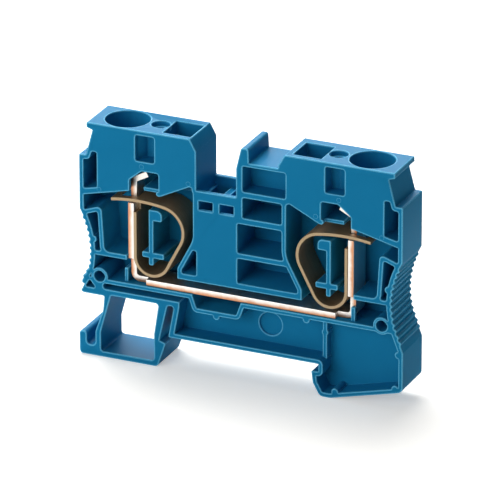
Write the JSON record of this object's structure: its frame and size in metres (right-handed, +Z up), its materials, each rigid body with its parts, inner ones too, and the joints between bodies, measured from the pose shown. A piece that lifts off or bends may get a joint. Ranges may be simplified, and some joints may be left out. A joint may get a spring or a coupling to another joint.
{
  "type": "spring terminal block",
  "caption": "Feed-through spring clamp terminal block for a carrier strip, open on one side, with wire towers, folded clamp springs and one current bar.",
  "frame": {"origin": "Under the middle of the block's length and thickness, on the plane that both feet stand on.", "axes": "+X along the block's length, with the springing foot at -X and the fixed foot at +X. +Y through the thickness, from the open side to the closed back. +Z up, the way the wires leave the towers."},
  "size_m": [0.0716, 0.0102, 0.0511],
  "materials": {
    "housing_plastic": "satin blue polyamide",
    "bar_metal": "thin bright tin plating over copper",
    "spring_steel": "plain rolled strip steel"
  },
  "bodies": {
    "root": {"housing": "housing_plastic", "current_bar": "bar_metal", "clamp_spring_left": "spring_steel", "clamp_spring_right": "spring_steel"}
  },
  "joints": []
}
